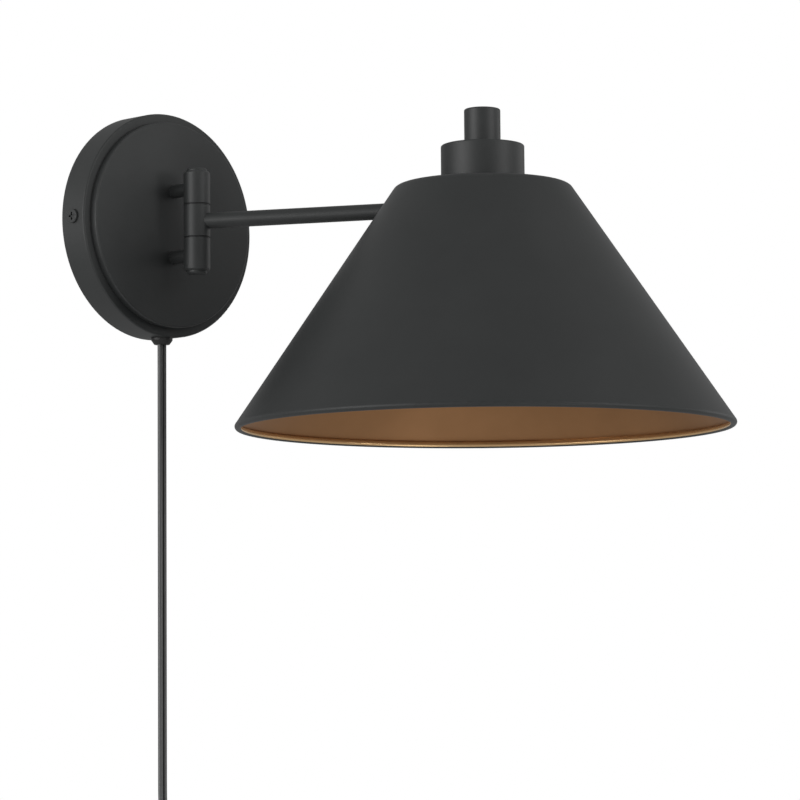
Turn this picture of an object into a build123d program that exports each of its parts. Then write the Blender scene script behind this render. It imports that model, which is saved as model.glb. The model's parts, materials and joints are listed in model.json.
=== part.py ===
from build123d import *
import math
import os

os.makedirs("parts", exist_ok=True)

# Swing arm wall sconce with a cone shade and a plug-in cord, in millimetres.
# Origin: centre of the backplate on the wall. The wall is the plane Y = 0, the room is
# towards -Y and +Z is up. The arm is drawn swung to one side, as it is used beside a bed.

# Backplate: a shallow pan with a raised disc, pressed from sheet
plate_radius = 60.0
pan_depth = 17.0
disc_border = 5.0
disc_step = 4.0
plate_wall = 1.2
pan_edge_round = 1.0
disc_edge_round = 0.8
side_screw_depth = 9.0

# Wall bracket: a strap with slots and two bent ears for the side screws
bracket_wall = 1.6
strap_width = 24.0
strap_end_gap = 11.0
ear_width = 12.0
ear_depth = 14.5
ear_gap = 0.25
bend_radius = 1.0
slot_spacing = 78.0
slot_length = 17.0
slot_width = 5.0
centre_hole_radius = 5.2

# Side screws
screw_radius = 2.0
screw_length = 9.0
screw_head_radius = 3.7
screw_head_height = 1.4
screw_head_round = 0.5
recess_width = 1.1
recess_span = 4.2
recess_depth = 0.9
screw_clearance = 0.1

# Knuckle: two fixed barrels with the swinging hub between them, on a hollow pivot
pivot_out = 39.0
barrel_radius = 7.0
knuckle_height = 53.0
hub_height = 17.2
washer_wall = 0.3
washer_inset = 0.5
face_gap = 0.05
barrel_chamfer = 0.3
end_chamfer = 0.9
pivot_radius = 4.0
pivot_bore_radius = 3.1
pivot_short = 1.2
press_gap = 0.02
running_gap = 0.06
button_radius = 5.4
button_height = 1.6
button_round = 0.9
button_stem = 6.0
hub_window = 5.2
hub_window_side = 5.0
hub_window_back = 1.0

# Posts that carry the knuckle on the plate
post_radius = 3.5
post_seat = 5.4
post_bore_radius = 1.9
tail_radius = 3.0
tail_reach = 5.3
post_washer_radius = 6.0
post_washer_wall = 0.8
post_nut_flats = 10.0
post_nut_height = 3.2

# Arm
arm_length = 157.0
swing_angle = 27.0
arm_radius = 4.2
arm_bore_radius = 3.0
arm_seat = 4.9
arm_fit = 0.05
wire_hole_radius = 2.4

# Shade: a spun cone with a flat top and a rolled rim
shade_top = 10.6
shade_shoulder_radius = 45.0
shade_rim = -115.3
shade_rim_radius = 128.5
shade_wall = 0.8
shade_shoulder_round = 4.6
rim_bead_radius = 1.8
shade_arm_clearance = 0.8

# Head inside and on the shade
head_radius = 9.0
head_height = 18.6
head_seat = 6.3
nipple_radius = 4.85
nipple_bore_radius = 3.2
nipple_low = -14.0
nipple_high = 16.8
cap_plate_wall = 1.5
cap_plate_gap = 0.05
lock_washer_radius = 8.0
lock_washer_wall = 0.8
shade_nut_flats = 14.0
shade_nut_height = 3.4

# Cap with the rotary switch and its knob
cap_radius = 21.6
cap_height = 21.0
cap_wall = 1.2
cap_round = 0.9
switch_radius = 13.5
switch_height = 12.8
switch_round = 1.0
bushing_radius = 4.7
bushing_height = 5.0
bushing_fit = 0.1
ring_nut_flats = 12.6
ring_nut_height = 2.0
shaft_radius = 3.0
shaft_low = 24.6
shaft_top = 47.6
shaft_flat = 0.8
knob_radius = 9.4
knob_low = 32.2
knob_top = 50.6
knob_top_round = 0.9
knob_low_round = 0.3
knob_recess_radius = 7.6
knob_recess_depth = 4.8

# Lampholder below the head
holder_radius = 19.0
holder_low = -60.0
holder_wall = 1.6
holder_neck_radius = 7.5
holder_neck_low = -12.0
holder_shoulder = -20.0
holder_ceiling = -24.0
holder_round = 2.0
insulator_height = 12.0
shell_radius = 13.2
shell_wall = 0.5
shell_length = 22.0
shell_floor_radius = 10.5
shell_hole_radius = 6.5
liner_wall = 2.6
liner_gap = 0.1
contact_width = 5.0
contact_wall = 0.5
contact_reach = 4.5
contact_drop = 4.0
contact_room = 0.5

# Cord bushing in the bottom of the pan
cord_out = 11.3
flange_radius = 5.7
flange_height = 3.4
flange_low_radius = 4.1
flange_straight = 1.2
neck_radius = 3.9
neck_gap = 0.05
snap_radius = 4.3
snap_height = 6.0
cord_gap = 0.05

# Flat twin cord, its coil, tie and plug
cord_width = 5.4
cord_thickness = 2.7
inner_cord_length = 9.0
coil_top = -340.0
coil_radius = 32.4
turn_columns = 2
turn_layers = 4
turn_slack = 0.2
coil_round = 2.0
tie_angle = 35.0
tie_width = 4.0
tie_wall = 1.1
tie_gap = 0.3
tail_drop = 51.2
plug_neck_length = 20.0
plug_neck_width = 9.0
plug_neck_thickness = 6.4
plug_width = 25.0
plug_thickness = 15.0
plug_length = 27.0
plug_round = 3.0
plug_edge_round = 1.2
blade_spacing = 12.7
blade_wall = 1.5
blade_width = 6.35
wide_blade_width = 7.94
blade_length = 17.5
blade_root = 5.0
blade_tip = 1.5
blade_hole_radius = 1.6
blade_hole_drop = 12.5

# Wires and crimp connectors in the pan
wire_radius = 0.85
wire_pair = 0.9
wire_bend = 2.5
connector_radius = 3.4
connector_length = 15.0
connector_start = 9.0
connector_rise = 8.6
connector_round = 1.2
wire_spread = 1.35

# Places that follow from the sizes above
disc_radius = plate_radius - disc_border
strap_reach = plate_radius - strap_end_gap
plate_front = pan_depth + disc_step
plate_back_of_disc = plate_front - plate_wall
barrel_top = knuckle_height / 2
barrel_low = hub_height / 2 + washer_wall + 2 * face_gap
post_height = (barrel_top + barrel_low) / 2
post_end = pivot_out - post_seat
tail_end = plate_back_of_disc - tail_reach
ear_reach = math.sqrt((plate_radius - plate_wall - ear_gap) ** 2 - (ear_width / 2) ** 2)
cap_plate_top = shade_top + cap_plate_wall
nut_low = cap_plate_top + lock_washer_wall
cap_top = shade_top + cap_height
bushing_top = cap_top + bushing_height
shaft_flat_low = knob_low + knob_recess_depth - face_gap
head_low = shade_top - shade_wall - head_height
bundle_width = turn_columns * (cord_width + turn_slack)
bundle_depth = turn_layers * (cord_thickness + turn_slack)
coil_centre = coil_top - coil_radius - bundle_depth / 2
tail_side = coil_radius + (turn_layers - 1) * (cord_thickness + turn_slack) / 2
plug_top = coil_centre - tail_drop

arm_way = Vector(math.sin(math.radians(swing_angle)), -math.cos(math.radians(swing_angle)), 0)
pivot = Vector(0, -pivot_out, 0)
head = pivot + arm_way * arm_length

wall_plane = Plane.XZ
knuckle_plane = Plane(pivot)
swing_plane = Plane(pivot, x_dir=arm_way, z_dir=(0, 0, 1))
head_plane = Plane(head, x_dir=arm_way, z_dir=(0, 0, 1))
head_section = Plane(head, x_dir=arm_way, z_dir=(arm_way.Y, -arm_way.X, 0))
head_axis = Axis(head, (0, 0, 1))
along_arm = Plane(pivot, z_dir=arm_way)


def circles(piece, radius):
    """Circular edges of one radius."""
    rings = piece.edges().filter_by(GeomType.CIRCLE)
    return rings.filter_by(lambda edge: abs(edge.radius - radius) < 0.001)


# ---- Backplate and wall bracket ----

with BuildPart() as backplate_cover:
    with BuildSketch(wall_plane):
        Circle(plate_radius)
    extrude(amount=pan_depth)
    with BuildSketch(wall_plane.offset(pan_depth)):
        Circle(disc_radius)
    extrude(amount=disc_step)
    fillet(circles(backplate_cover, plate_radius).sort_by(Axis.Y)[0], pan_edge_round)
    fillet(circles(backplate_cover, disc_radius).sort_by(Axis.Y)[0], disc_edge_round)
    with BuildSketch(wall_plane):
        Circle(plate_radius - plate_wall)
    extrude(amount=pan_depth - plate_wall, mode=Mode.SUBTRACT)
    with BuildSketch(wall_plane):
        Circle(disc_radius - plate_wall)
    extrude(amount=plate_back_of_disc, mode=Mode.SUBTRACT)
    with BuildSketch(Plane.YZ):
        with Locations((-side_screw_depth, 0)):
            Circle(screw_radius + screw_clearance)
    extrude(amount=plate_radius, both=True, mode=Mode.SUBTRACT)
    with BuildSketch(wall_plane):
        with Locations((0, post_height), (0, -post_height)):
            Circle(tail_radius + screw_clearance)
    extrude(amount=plate_front, mode=Mode.SUBTRACT)
    with BuildSketch(Plane.XY):
        with Locations((0, -cord_out)):
            Circle(neck_radius)
    extrude(amount=-plate_radius, mode=Mode.SUBTRACT)
backplate_cover.part.label = "backplate_cover"
export_step(backplate_cover.part, "parts/backplate_cover.step")

with BuildPart() as wall_bracket:
    with BuildSketch(Plane.XY):
        with Locations((0, -ear_depth / 2)):
            Rectangle(2 * ear_reach, ear_depth)
        with Locations((0, -bracket_wall - ear_depth / 2)):
            Rectangle(2 * (ear_reach - bracket_wall), ear_depth, mode=Mode.SUBTRACT)
    extrude(amount=strap_width / 2, both=True)
    bends = wall_bracket.edges().filter_by(Axis.Z)
    fillet(bends.filter_by(lambda edge: abs(edge.center().Y) < 0.001), bend_radius + bracket_wall)
    inside = wall_bracket.edges().filter_by(Axis.Z)
    fillet(inside.filter_by(lambda edge: abs(edge.center().Y + bracket_wall) < 0.001), bend_radius)
    with BuildSketch(wall_plane):
        Rectangle(2 * strap_reach, strap_width)
        Rectangle(2 * ear_reach, ear_width)
    extrude(amount=ear_depth, mode=Mode.INTERSECT)
    with BuildSketch(wall_plane):
        with Locations((-slot_spacing / 2, 0), (slot_spacing / 2, 0)):
            SlotOverall(slot_length, slot_width)
        Circle(centre_hole_radius)
    extrude(amount=bracket_wall, mode=Mode.SUBTRACT)
    with BuildSketch(Plane.YZ):
        with Locations((-side_screw_depth, 0)):
            Circle(screw_radius + screw_clearance / 2)
    extrude(amount=plate_radius, both=True, mode=Mode.SUBTRACT)
wall_bracket.part.label = "wall_bracket"
export_step(wall_bracket.part, "parts/wall_bracket.step")

with BuildPart() as side_screws:
    with BuildSketch(Plane.YZ.offset(plate_radius)):
        with Locations((-side_screw_depth, 0)):
            Circle(screw_head_radius)
    extrude(amount=screw_head_height)
    fillet(circles(side_screws, screw_head_radius).sort_by(Axis.X)[-1], screw_head_round)
    with BuildSketch(Plane.YZ.offset(plate_radius)):
        with Locations((-side_screw_depth, 0)):
            Circle(screw_radius)
    extrude(amount=-screw_length)
    with BuildSketch(Plane.YZ.offset(plate_radius + screw_head_height)):
        with Locations((-side_screw_depth, 0)):
            Rectangle(recess_span, recess_width)
            Rectangle(recess_width, recess_span)
    extrude(amount=-recess_depth, mode=Mode.SUBTRACT)
    mirror(about=Plane.YZ)
side_screws.part.label = "side_screws"
export_step(side_screws.part, "parts/side_screws.step")

# ---- Knuckle on its posts ----

for side, post_name in ((1, "upper_post"), (-1, "lower_post")):
    post_plane = Plane((0, 0, side * post_height), x_dir=(1, 0, 0), z_dir=(0, -1, 0))
    with BuildPart() as post:
        with BuildSketch(post_plane.offset(plate_front)):
            Circle(post_radius)
        extrude(amount=post_end - plate_front)
        with BuildSketch(post_plane.offset(tail_end)):
            Circle(tail_radius)
        extrude(amount=plate_front - tail_end)
        with BuildSketch(post_plane.offset(tail_end)):
            Circle(post_bore_radius)
        extrude(amount=post_end - tail_end, mode=Mode.SUBTRACT)
    post.part.label = post_name
    export_step(post.part, f"parts/{post_name}.step")

with BuildPart() as post_washers:
    with BuildSketch(wall_plane.offset(plate_back_of_disc)):
        with Locations((0, post_height), (0, -post_height)):
            Circle(post_washer_radius)
            Circle(tail_radius + screw_clearance, mode=Mode.SUBTRACT)
    extrude(amount=-post_washer_wall)
post_washers.part.label = "post_washers"
export_step(post_washers.part, "parts/post_washers.step")

with BuildPart() as post_nuts:
    with BuildSketch(wall_plane.offset(plate_back_of_disc - post_washer_wall)):
        with Locations((0, post_height), (0, -post_height)):
            RegularPolygon(post_nut_flats / 2, 6, major_radius=False)
            Circle(tail_radius + press_gap, mode=Mode.SUBTRACT)
    extrude(amount=-post_nut_height)
post_nuts.part.label = "post_nuts"
export_step(post_nuts.part, "parts/post_nuts.step")

for side, barrel_name in ((1, "upper_barrel"), (-1, "lower_barrel")):
    with BuildPart() as barrel:
        with BuildSketch(knuckle_plane.offset(side * barrel_low)):
            Circle(barrel_radius)
        extrude(amount=side * (barrel_top - barrel_low))
        ends = circles(barrel, barrel_radius).sort_by(Axis.Z)
        chamfer(ends[-1], end_chamfer if side > 0 else barrel_chamfer)
        chamfer(ends[0], barrel_chamfer if side > 0 else end_chamfer)
        with BuildSketch(knuckle_plane.offset(side * barrel_low)):
            Circle(pivot_radius + press_gap)
        extrude(amount=side * (barrel_top - barrel_low), mode=Mode.SUBTRACT)
        with BuildSketch(Plane((0, 0, side * post_height), x_dir=(1, 0, 0), z_dir=(0, -1, 0))):
            Circle(post_radius + arm_fit)
        extrude(amount=post_end, mode=Mode.SUBTRACT)
        with BuildSketch(Plane((0, -post_end, side * post_height), x_dir=(1, 0, 0), z_dir=(0, -1, 0))):
            Circle(post_bore_radius)
        extrude(amount=post_seat, mode=Mode.SUBTRACT)
    barrel.part.label = barrel_name
    export_step(barrel.part, f"parts/{barrel_name}.step")

# The pivot is a tube: the wires enter it at the lower post and leave it at the arm,
# through a window wide enough for the whole swing.
with BuildPart() as pivot_tube:
    with BuildSketch(knuckle_plane.offset(pivot_short - barrel_top)):
        Circle(pivot_radius)
        Circle(pivot_bore_radius, mode=Mode.SUBTRACT)
    extrude(amount=2 * (barrel_top - pivot_short))
    with BuildSketch(Plane.XZ.offset(pivot_out + hub_window_back)):
        Rectangle(2 * hub_window_side, hub_window)
    extrude(amount=pivot_radius, mode=Mode.SUBTRACT)
    with BuildSketch(Plane((0, -pivot_out, -post_height), x_dir=(1, 0, 0), z_dir=(0, 1, 0))):
        Circle(post_bore_radius)
    extrude(amount=pivot_radius, mode=Mode.SUBTRACT)
pivot_tube.part.label = "pivot_tube"
export_step(pivot_tube.part, "parts/pivot_tube.step")

for side, button_name in ((1, "top_button"), (-1, "bottom_button")):
    with BuildPart() as button:
        with BuildSketch(knuckle_plane.offset(side * barrel_top)):
            Circle(button_radius)
        extrude(amount=side * button_height)
        rim = circles(button, button_radius).sort_by(Axis.Z)[-1 if side > 0 else 0]
        fillet(rim, button_round)
        with BuildSketch(knuckle_plane.offset(side * barrel_top)):
            Circle(pivot_bore_radius - press_gap)
        extrude(amount=-side * button_stem)
    button.part.label = button_name
    export_step(button.part, f"parts/{button_name}.step")

with BuildPart() as thrust_washers:
    for side in (-1, 1):
        with BuildSketch(knuckle_plane.offset(side * (hub_height / 2 + face_gap))):
            Circle(barrel_radius - washer_inset)
            Circle(pivot_radius + running_gap, mode=Mode.SUBTRACT)
        extrude(amount=side * washer_wall)
thrust_washers.part.label = "thrust_washers"
export_step(thrust_washers.part, "parts/thrust_washers.step")

# ---- Swinging hub and arm ----

with BuildPart() as swing_hub:
    with BuildSketch(swing_plane.offset(-hub_height / 2)):
        Circle(barrel_radius)
    extrude(amount=hub_height)
    chamfer(circles(swing_hub, barrel_radius), barrel_chamfer)
    with BuildSketch(swing_plane.offset(-hub_height / 2)):
        Circle(pivot_radius + running_gap)
    extrude(amount=hub_height, mode=Mode.SUBTRACT)
    with BuildSketch(along_arm.offset(arm_seat)):
        Circle(arm_radius + arm_fit)
    extrude(amount=barrel_radius, mode=Mode.SUBTRACT)
    with BuildSketch(along_arm):
        Circle(wire_hole_radius)
    extrude(amount=barrel_radius, mode=Mode.SUBTRACT)
swing_hub.part.label = "swing_hub"
export_step(swing_hub.part, "parts/swing_hub.step")

with BuildPart() as arm_tube:
    with BuildSketch(along_arm.offset(arm_seat)):
        Circle(arm_radius)
        Circle(arm_bore_radius, mode=Mode.SUBTRACT)
    extrude(amount=arm_length - head_seat - arm_seat)
arm_tube.part.label = "arm_tube"
export_step(arm_tube.part, "parts/arm_tube.step")

# ---- Head, shade and cap ----

with BuildPart() as head_hub:
    with BuildSketch(head_plane.offset(head_low)):
        Circle(head_radius)
    extrude(amount=head_height)
    chamfer(circles(head_hub, head_radius), barrel_chamfer)
    with BuildSketch(head_plane.offset(head_low)):
        Circle(nipple_radius + press_gap)
    extrude(amount=head_height, mode=Mode.SUBTRACT)
    with BuildSketch(along_arm.offset(arm_length - head_radius)):
        Circle(arm_radius + arm_fit)
    extrude(amount=head_radius - head_seat, mode=Mode.SUBTRACT)
    with BuildSketch(along_arm.offset(arm_length - head_radius)):
        Circle(wire_hole_radius)
    extrude(amount=head_radius, mode=Mode.SUBTRACT)
head_hub.part.label = "head_hub"
export_step(head_hub.part, "parts/head_hub.step")

with BuildPart() as nipple:
    with BuildSketch(head_plane.offset(nipple_low)):
        Circle(nipple_radius)
        Circle(nipple_bore_radius, mode=Mode.SUBTRACT)
    extrude(amount=nipple_high - nipple_low)
    with BuildSketch(along_arm.offset(arm_length - nipple_radius)):
        Circle(wire_hole_radius)
    extrude(amount=nipple_radius, mode=Mode.SUBTRACT)
nipple.part.label = "nipple"
export_step(nipple.part, "parts/nipple.step")

# The cone's outer line runs from the sharp shoulder corner to the bead, and touches it.
bead_centre = (shade_rim_radius - rim_bead_radius, shade_rim + rim_bead_radius)
bead_across = bead_centre[0] - shade_shoulder_radius
bead_down = shade_top - bead_centre[1]
bead_away = math.hypot(bead_across, bead_down)
flare = math.atan2(bead_across, bead_down) + math.asin(rim_bead_radius / bead_away)
cone_length = math.sqrt(bead_away**2 - rim_bead_radius**2)
cone_end = (
    shade_shoulder_radius + cone_length * math.sin(flare),
    shade_top - cone_length * math.cos(flare),
)

with BuildPart() as shade:
    with BuildSketch(head_section):
        with BuildLine():
            FilletPolyline(
                (nipple_radius + screw_clearance, shade_top),
                (shade_shoulder_radius, shade_top),
                cone_end,
                radius=shade_shoulder_round,
            )
            offset(amount=shade_wall, side=Side.RIGHT)
        make_face()
        with Locations(bead_centre):
            Circle(rim_bead_radius)
    revolve(axis=head_axis)
    with BuildSketch(along_arm.offset(head_radius)):
        Circle(arm_radius + shade_arm_clearance)
    extrude(amount=arm_length - 2 * head_radius, mode=Mode.SUBTRACT)
shade.part.label = "shade"
export_step(shade.part, "parts/shade.step")

with BuildPart() as cap_plate:
    with BuildSketch(head_plane.offset(shade_top)):
        Circle(cap_radius - cap_wall - cap_plate_gap)
        Circle(nipple_radius + screw_clearance, mode=Mode.SUBTRACT)
    extrude(amount=cap_plate_wall)
cap_plate.part.label = "cap_plate"
export_step(cap_plate.part, "parts/cap_plate.step")

with BuildPart() as lock_washer:
    with BuildSketch(head_plane.offset(cap_plate_top)):
        Circle(lock_washer_radius)
        Circle(nipple_radius + screw_clearance, mode=Mode.SUBTRACT)
    extrude(amount=lock_washer_wall)
lock_washer.part.label = "lock_washer"
export_step(lock_washer.part, "parts/lock_washer.step")

with BuildPart() as shade_nut:
    with BuildSketch(head_plane.offset(nut_low)):
        RegularPolygon(shade_nut_flats / 2, 6, major_radius=False)
        Circle(nipple_radius + press_gap, mode=Mode.SUBTRACT)
    extrude(amount=shade_nut_height)
shade_nut.part.label = "shade_nut"
export_step(shade_nut.part, "parts/shade_nut.step")

with BuildPart() as switch_cap:
    with BuildSketch(head_plane.offset(shade_top)):
        Circle(cap_radius)
    extrude(amount=cap_height)
    fillet(circles(switch_cap, cap_radius).sort_by(Axis.Z)[-1], cap_round)
    with BuildSketch(head_plane.offset(shade_top)):
        Circle(cap_radius - cap_wall)
    extrude(amount=cap_height - cap_wall, mode=Mode.SUBTRACT)
    with BuildSketch(head_plane.offset(cap_top)):
        Circle(bushing_radius + bushing_fit)
    extrude(amount=-cap_wall, mode=Mode.SUBTRACT)
switch_cap.part.label = "switch_cap"
export_step(switch_cap.part, "parts/switch_cap.step")

with BuildPart() as switch_body:
    with BuildSketch(head_plane.offset(cap_top - cap_wall)):
        Circle(switch_radius)
    extrude(amount=-switch_height)
    fillet(circles(switch_body, switch_radius), switch_round)
    with BuildSketch(head_plane.offset(cap_top - cap_wall)):
        Circle(bushing_radius)
    extrude(amount=bushing_top - cap_top + cap_wall)
    with BuildSketch(head_plane.offset(bushing_top)):
        Circle(shaft_radius + running_gap)
    extrude(amount=shaft_low - face_gap - bushing_top, mode=Mode.SUBTRACT)
switch_body.part.label = "switch_body"
export_step(switch_body.part, "parts/switch_body.step")

with BuildPart() as switch_nut:
    with BuildSketch(head_plane.offset(cap_top)):
        RegularPolygon(ring_nut_flats / 2, 6, major_radius=False)
        Circle(bushing_radius + press_gap, mode=Mode.SUBTRACT)
    extrude(amount=ring_nut_height)
switch_nut.part.label = "switch_nut"
export_step(switch_nut.part, "parts/switch_nut.step")

with BuildPart() as switch_shaft:
    with BuildSketch(head_plane.offset(shaft_low)):
        Circle(shaft_radius)
    extrude(amount=shaft_top - shaft_low)
    with BuildSketch(head_plane.offset(shaft_flat_low)):
        with Locations((2 * shaft_radius - shaft_flat, 0)):
            Rectangle(2 * shaft_radius, 3 * shaft_radius)
    extrude(amount=shaft_top - shaft_flat_low, mode=Mode.SUBTRACT)
switch_shaft.part.label = "switch_shaft"
export_step(switch_shaft.part, "parts/switch_shaft.step")

with BuildPart() as switch_knob:
    with BuildSketch(head_plane.offset(knob_low)):
        Circle(knob_radius)
    extrude(amount=knob_top - knob_low)
    ends = circles(switch_knob, knob_radius).sort_by(Axis.Z)
    fillet(ends[-1], knob_top_round)
    fillet(ends[0], knob_low_round)
    with BuildSketch(head_plane.offset(knob_low)):
        Circle(knob_recess_radius)
    extrude(amount=knob_recess_depth, mode=Mode.SUBTRACT)
    with BuildSketch(head_plane.offset(knob_low)):
        Circle(shaft_radius + press_gap)
        with Locations((2 * shaft_radius - shaft_flat + press_gap, 0)):
            Rectangle(2 * shaft_radius, 3 * shaft_radius, mode=Mode.SUBTRACT)
    extrude(amount=shaft_top + face_gap - knob_low, mode=Mode.SUBTRACT)
switch_knob.part.label = "switch_knob"
export_step(switch_knob.part, "parts/switch_knob.step")

# ---- Lampholder ----

with BuildPart() as holder_body:
    with BuildSketch(head_section):
        with BuildLine():
            Polyline(
                (0, head_low),
                (holder_neck_radius, head_low),
                (holder_neck_radius, holder_neck_low),
                (holder_radius, holder_shoulder),
                (holder_radius, holder_low),
                (holder_radius - holder_wall, holder_low),
                (holder_radius - holder_wall, holder_ceiling),
                (0, holder_ceiling),
                close=True,
            )
        make_face()
    revolve(axis=head_axis)
    fillet(circles(holder_body, holder_radius).sort_by(Axis.Z)[-1], holder_round)
    with BuildSketch(head_plane.offset(head_low)):
        Circle(nipple_radius + press_gap)
    extrude(amount=nipple_low - face_gap - head_low, mode=Mode.SUBTRACT)
    with BuildSketch(head_plane.offset(head_low)):
        Circle(nipple_bore_radius)
    extrude(amount=holder_ceiling - head_low, mode=Mode.SUBTRACT)
holder_body.part.label = "holder_body"
export_step(holder_body.part, "parts/holder_body.step")

insulator_low = holder_ceiling - insulator_height
with BuildPart() as holder_insulator:
    with BuildSketch(head_plane.offset(holder_ceiling)):
        Circle(holder_radius - holder_wall - liner_gap)
    extrude(amount=-insulator_height)
holder_insulator.part.label = "holder_insulator"
export_step(holder_insulator.part, "parts/holder_insulator.step")

# The shell narrows above the contact's tip, and the lamp's thread starts below it.
shell_low = insulator_low - shell_length
thread_top = insulator_low - contact_drop - contact_wall - contact_room
with BuildPart() as screw_shell:
    with BuildSketch(head_section):
        with BuildLine():
            Polyline(
                (shell_hole_radius, insulator_low),
                (shell_floor_radius + shell_wall, insulator_low),
                (shell_radius + shell_wall, thread_top),
                (shell_radius + shell_wall, shell_low),
                (shell_radius, shell_low),
                (shell_radius, thread_top),
                (shell_floor_radius, insulator_low - shell_wall),
                (shell_hole_radius, insulator_low - shell_wall),
                close=True,
            )
        make_face()
    revolve(axis=head_axis)
screw_shell.part.label = "screw_shell"
export_step(screw_shell.part, "parts/screw_shell.step")

with BuildPart() as holder_liner:
    with BuildSketch(head_plane.offset(insulator_low)):
        Circle(holder_radius - holder_wall - liner_gap)
        Circle(holder_radius - holder_wall - liner_gap - liner_wall, mode=Mode.SUBTRACT)
    extrude(amount=holder_low - insulator_low)
holder_liner.part.label = "holder_liner"
export_step(holder_liner.part, "parts/holder_liner.step")

with BuildPart() as centre_contact:
    with BuildSketch(head_section):
        with BuildLine():
            Polyline(
                (-contact_reach, insulator_low),
                (contact_reach / 2, insulator_low),
                (contact_reach / 2, insulator_low - contact_wall),
                (contact_reach, insulator_low - contact_drop),
                (contact_reach - contact_wall, insulator_low - contact_drop - contact_wall),
                (0, insulator_low - contact_drop),
                (0, insulator_low - contact_drop + contact_wall),
                (contact_reach - 2 * contact_wall, insulator_low - contact_drop),
                (contact_reach / 2 - contact_wall, insulator_low - contact_wall),
                (-contact_reach, insulator_low - contact_wall),
                close=True,
            )
        make_face()
    extrude(amount=contact_width / 2, both=True)
centre_contact.part.label = "centre_contact"
export_step(centre_contact.part, "parts/centre_contact.step")

# ---- Cord bushing and the wiring in the pan ----

bushing_axis = Axis((0, -cord_out, 0), (0, 0, 1))
flange_bottom = -plate_radius - flange_height
snap_low = -math.sqrt((plate_radius - plate_wall) ** 2 - snap_radius**2)
snap_top = snap_low + snap_height

with BuildPart() as cord_bushing:
    with BuildSketch(Plane.XZ.offset(cord_out)):
        with BuildLine():
            Polyline(
                (0, flange_bottom),
                (flange_low_radius, flange_bottom),
                (flange_radius, -plate_radius - flange_straight),
                (flange_radius, -plate_radius),
                (neck_radius - neck_gap, -plate_radius),
                (neck_radius - neck_gap, snap_low),
                (snap_radius, snap_low),
                (neck_radius - neck_gap, snap_top),
                (0, snap_top),
                close=True,
            )
        make_face()
    revolve(axis=bushing_axis)
    with BuildSketch(Plane.XY.offset(flange_bottom)):
        with Locations((0, -cord_out)):
            SlotOverall(cord_width + 2 * cord_gap, cord_thickness + 2 * cord_gap)
    extrude(amount=snap_top - flange_bottom, mode=Mode.SUBTRACT)
cord_bushing.part.label = "cord_bushing"
export_step(cord_bushing.part, "parts/cord_bushing.step")

inner_cord_top = snap_top + inner_cord_length
connector_height = inner_cord_top + connector_rise
with BuildPart() as inner_cord:
    with BuildSketch(Plane.XY.offset(flange_bottom)):
        with Locations((0, -cord_out)):
            SlotOverall(cord_width, cord_thickness)
    extrude(amount=inner_cord_top - flange_bottom)
inner_cord.part.label = "inner_cord"
export_step(inner_cord.part, "parts/inner_cord.step")

# Two leads rise from the cord and two come down from the lower post. Each pair ends
# side by side in the mouth of a closed-end crimp connector.
with BuildPart() as lead_wires:
    for side in (-1, 1):
        mouth = side * connector_start
        with BuildLine() as from_cord:
            FilletPolyline(
                (side * wire_spread, -cord_out, inner_cord_top),
                (side * wire_spread, -cord_out, connector_height - wire_spread),
                (mouth, -cord_out, connector_height - wire_spread),
                radius=wire_bend,
            )
        with BuildSketch(Plane(from_cord.line @ 0, z_dir=from_cord.line % 0)):
            Circle(wire_radius)
        sweep()
        with BuildLine() as from_post:
            FilletPolyline(
                (side * wire_pair, -tail_end - wire_bend, -post_height),
                (side * wire_pair, -cord_out, -post_height),
                (side * wire_pair, -cord_out, connector_height + wire_spread),
                (mouth, -cord_out, connector_height + wire_spread),
                radius=wire_bend,
            )
        with BuildSketch(Plane(from_post.line @ 0, z_dir=from_post.line % 0)):
            Circle(wire_radius)
        sweep()
lead_wires.part.label = "lead_wires"
export_step(lead_wires.part, "parts/lead_wires.step")

with BuildPart() as wire_connectors:
    with BuildSketch(Plane.YZ.offset(connector_start)):
        with Locations((-cord_out, connector_height)):
            Circle(connector_radius)
    extrude(amount=connector_length)
    fillet(circles(wire_connectors, connector_radius).sort_by(Axis.X)[-1], connector_round)
    mirror(about=Plane.YZ)
wire_connectors.part.label = "wire_connectors"
export_step(wire_connectors.part, "parts/wire_connectors.step")

# ---- Free cord: it hangs straight, and its spare length is a tied coil with the plug ----

coil_plane = Plane((0, -cord_out, coil_centre), x_dir=(1, 0, 0), z_dir=(0, 0, 1))
coil_axis = Axis((0, -cord_out, coil_centre), (0, 1, 0))

with BuildPart() as cord_coil:
    with BuildSketch(coil_plane):
        with Locations((coil_radius, 0)):
            RectangleRounded(bundle_depth, bundle_width, coil_round)
    revolve(axis=coil_axis)
cord_coil.part.label = "cord_coil"
export_step(cord_coil.part, "parts/cord_coil.step")

with BuildPart() as power_cord:
    with BuildSketch(Plane.XY.offset(flange_bottom)):
        with Locations((0, -cord_out)):
            SlotOverall(cord_width, cord_thickness)
    extrude(amount=coil_centre + coil_radius - flange_bottom)
    add(cord_coil.part, mode=Mode.SUBTRACT)
power_cord.part.label = "power_cord"
export_step(power_cord.part, "parts/power_cord.step")

with BuildPart() as cord_tail:
    with BuildSketch(Plane.XY.offset(plug_top)):
        with Locations((tail_side, -cord_out)):
            SlotOverall(cord_width, cord_thickness)
    extrude(amount=coil_centre - coil_radius / 2 - plug_top)
    add(cord_coil.part, mode=Mode.SUBTRACT)
cord_tail.part.label = "cord_tail"
export_step(cord_tail.part, "parts/cord_tail.step")

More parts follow.
